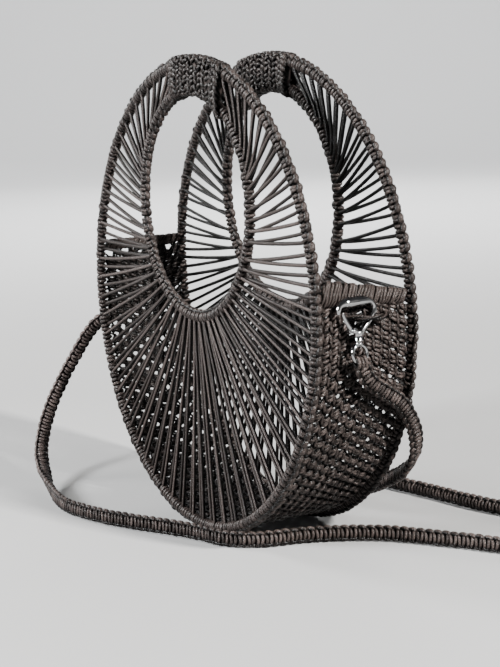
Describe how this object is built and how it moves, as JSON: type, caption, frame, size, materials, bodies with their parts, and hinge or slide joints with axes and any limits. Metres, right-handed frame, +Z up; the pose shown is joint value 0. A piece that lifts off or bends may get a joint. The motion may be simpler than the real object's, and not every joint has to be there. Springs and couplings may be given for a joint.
{
  "type": "macrame handbag",
  "caption": "Round macrame handbag: two ringed faces of strung cord with hand holes, a knotted gusset between them, snap hooks and a long knotted strap.",
  "frame": {"origin": "on the standing surface, under the middle of the bag", "axes": "+Z up, +X across the round faces towards the hook that shows, -Y out of the front face"},
  "size_m": [0.3474, 0.231, 0.2668],
  "materials": {
    "cord": "braided polyester cord, knotted, soft sheen",
    "chrome": "polished nickel plating",
    "strap_cord": "braided polyester cord in square knots"
  },
  "bodies": {
    "bag": {"front_outer_ring": "cord", "front_hand_ring": "cord", "front_strands": "cord", "front_handle_wrap": "cord", "back_outer_ring": "cord", "back_hand_ring": "cord", "back_strands": "cord", "back_handle_wrap": "cord", "gusset": "cord", "right_edge_bar": "cord", "left_edge_bar": "cord", "right_hook": "chrome", "right_swivel_eye": "chrome", "left_clasp": "chrome", "strap": "strap_cord"},
    "gate": {"right_gate": "chrome"}
  },
  "joints": [
    {"name": "right_gate_hinge", "type": "hinge", "parent": "bag", "child": "gate", "pos_m": [0.1353, -0.01041, 0.13085], "axis": [-0.9921, -0.0694, -0.1045], "range_deg": [0, 25], "stiffness_Nm_per_rad": 0.01, "springref_deg": -8.59}
  ]
}
